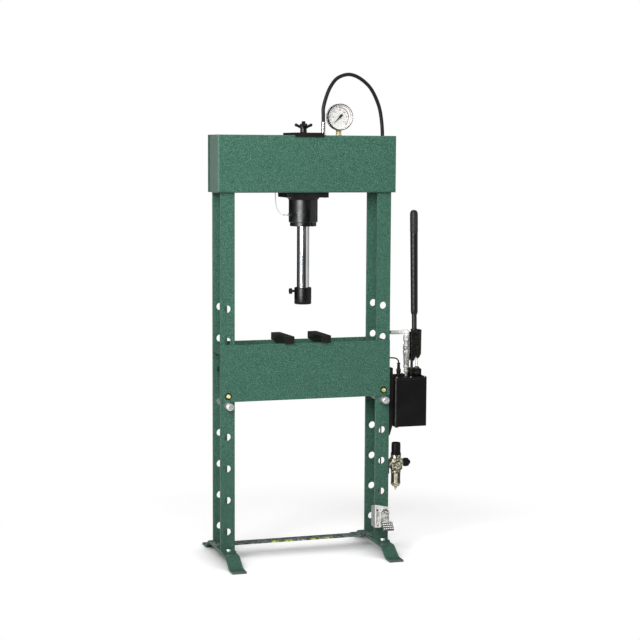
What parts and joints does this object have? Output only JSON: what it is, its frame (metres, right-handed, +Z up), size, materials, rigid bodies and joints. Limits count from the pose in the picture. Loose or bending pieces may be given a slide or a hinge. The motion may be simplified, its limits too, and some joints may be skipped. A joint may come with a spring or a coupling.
{
  "type": "shop press",
  "caption": "Floor-standing shop press with a sliding hydraulic cylinder, lever pump, height-adjustable table, pressure gauge, air regulator and foot valve",
  "frame": {"origin": "on the floor under the middle of the overall width and depth (the midpoint of the bounding box's bottom, without the free hoses)", "axes": "+X along the beam to the right seen from the front, towards the pump; +Y from the front to the rear; +Z up"},
  "size_m": [0.89, 0.518, 1.9875],
  "materials": {
    "green_paint": "green hammered paint with fine lighter specks, semi-gloss",
    "zinc": "bright zinc plate",
    "yellow_zinc": "yellow-chromated zinc plate",
    "dark_steel": "blackened machined steel with rubbed edges",
    "black_paint": "black paint, semi-gloss",
    "black_plastic": "black moulded plastic",
    "chrome": "hard chrome, polished",
    "dial_white": "white dial with black graduation and a red arc",
    "clear_glass": "clear, smooth",
    "brass": "dull brass",
    "clear_tube": "milky nylon tube",
    "black_rubber": "black rubber, satin",
    "cast_aluminium": "cast aluminium, slightly rough"
  },
  "bodies": {
    "frame": {"beam_front": "green_paint", "beam_rear": "green_paint", "left_post_bars": "green_paint", "right_post_bars": "green_paint", "post_packers": "green_paint", "left_foot": "green_paint", "right_foot": "green_paint", "base_plates": "green_paint", "foot_bolts": "zinc", "stretcher": "green_paint", "pump_bracket": "black_paint", "reservoir": "black_paint", "reservoir_lid": "black_paint", "pump_screws": "zinc", "pump_block": "black_paint", "pivot_post": "black_paint", "outlet_fitting": "zinc", "hose_elbow": "zinc", "pressure_hose": "black_rubber", "air_fittings": "black_plastic", "air_lines": "black_rubber", "filter_bracket": "black_paint", "regulator_body": "brass", "filter_bowl": "clear_glass", "foot_valve": "cast_aluminium"},
    "carriage": {"carriage_plate": "black_paint", "cylinder_barrel": "black_paint", "cylinder_gland": "black_paint", "clamp_plate": "black_paint", "clamp_stud": "zinc", "return_spring": "zinc", "manifold": "black_paint", "hose_fitting": "zinc", "gauge_stem": "brass", "gauge_case": "black_plastic", "gauge_dial": "dial_white", "gauge_lens": "clear_glass", "bleed_nipples": "brass", "leak_tube": "clear_tube"},
    "clamp_knob": {"star_knob": "black_plastic"},
    "ram": {"piston_rod": "chrome", "ram_nose": "dark_steel"},
    "nose_lock": {"nose_screw": "dark_steel"},
    "gauge_pointer": {"gauge_needle": "black_plastic"},
    "table": {"table_front": "green_paint", "table_rear": "green_paint", "table_spacers": "green_paint", "table_bolts": "yellow_zinc", "press_blocks": "dark_steel"},
    "left_pin": {"left_support_pin": "zinc"},
    "right_pin": {"right_support_pin": "zinc"},
    "pump_lever": {"lever_socket": "black_paint", "lever_pins": "zinc", "lever_bar": "black_paint", "lever_grip": "black_rubber"},
    "plunger": {"pump_plunger": "chrome"},
    "release_valve": {"release_knob": "black_plastic"},
    "pressure_knob": {"regulator_knob": "black_plastic"},
    "drain_valve": {"drain_cock": "brass"},
    "pedal": {"foot_pedal": "cast_aluminium"}
  },
  "joints": [
    {"name": "carriage_slide", "type": "slide", "parent": "frame", "child": "carriage", "axis": [1, 0, 0], "range_m": [-0.15, 0.15], "deforming": ["pressure_hose"]},
    {"name": "clamp_knob_turn", "type": "hinge", "parent": "carriage", "child": "clamp_knob", "pos_m": [-0.066, 0, 1.755], "axis": [0, 0, 1], "continuous": true},
    {"name": "ram_slide", "type": "slide", "parent": "carriage", "child": "ram", "axis": [0, 0, 1], "range_m": [0, 0.25], "deforming": ["return_spring"]},
    {"name": "nose_screw_turn", "type": "hinge", "parent": "ram", "child": "nose_lock", "pos_m": [-0.11, 0, 1.0967], "axis": [1, 0, 0], "continuous": true},
    {"name": "gauge_needle_turn", "type": "hinge", "parent": "carriage", "child": "gauge_pointer", "pos_m": [0.084, -0.015, 1.805], "axis": [0, 1, 0], "range_deg": [0, 270]},
    {"name": "table_slide", "type": "slide", "parent": "frame", "child": "table", "axis": [0, 0, 1], "range_m": [0, 0.115]},
    {"name": "left_pin_slide", "type": "slide", "parent": "frame", "child": "left_pin", "axis": [0, -1, 0], "range_m": [0, 0.14]},
    {"name": "right_pin_slide", "type": "slide", "parent": "frame", "child": "right_pin", "axis": [0, -1, 0], "range_m": [0, 0.14]},
    {"name": "lever_swing", "type": "hinge", "parent": "frame", "child": "pump_lever", "pos_m": [0.399, -0.04, 0.806], "axis": [0, 1, 0], "range_deg": [-2, 60]},
    {"name": "plunger_slide", "type": "slide", "parent": "frame", "child": "plunger", "axis": [0, 0, 1], "range_m": [-0.026, 0.0012]},
    {"name": "release_turn", "type": "hinge", "parent": "frame", "child": "release_valve", "pos_m": [0.41, -0.07, 0.749], "axis": [0, -1, 0], "range_deg": [0, 270]},
    {"name": "regulator_turn", "type": "hinge", "parent": "frame", "child": "pressure_knob", "pos_m": [0.333, -0.04, 0.43], "axis": [0, 0, 1], "continuous": true},
    {"name": "drain_turn", "type": "hinge", "parent": "frame", "child": "drain_valve", "pos_m": [0.333, -0.04, 0.262], "axis": [0, 0, 1], "range_deg": [0, 90]},
    {"name": "pedal_press", "type": "hinge", "parent": "frame", "child": "pedal", "pos_m": [0.259, -0.108, 0.166], "axis": [1, 0, 0], "range_deg": [0, 12], "stiffness_Nm_per_rad": 0.6, "springref_deg": -17.19}
  ],
  "couplings": [
    {"joint": "plunger_slide", "follows": "lever_swing", "m_per_rad": -0.0247}
  ]
}
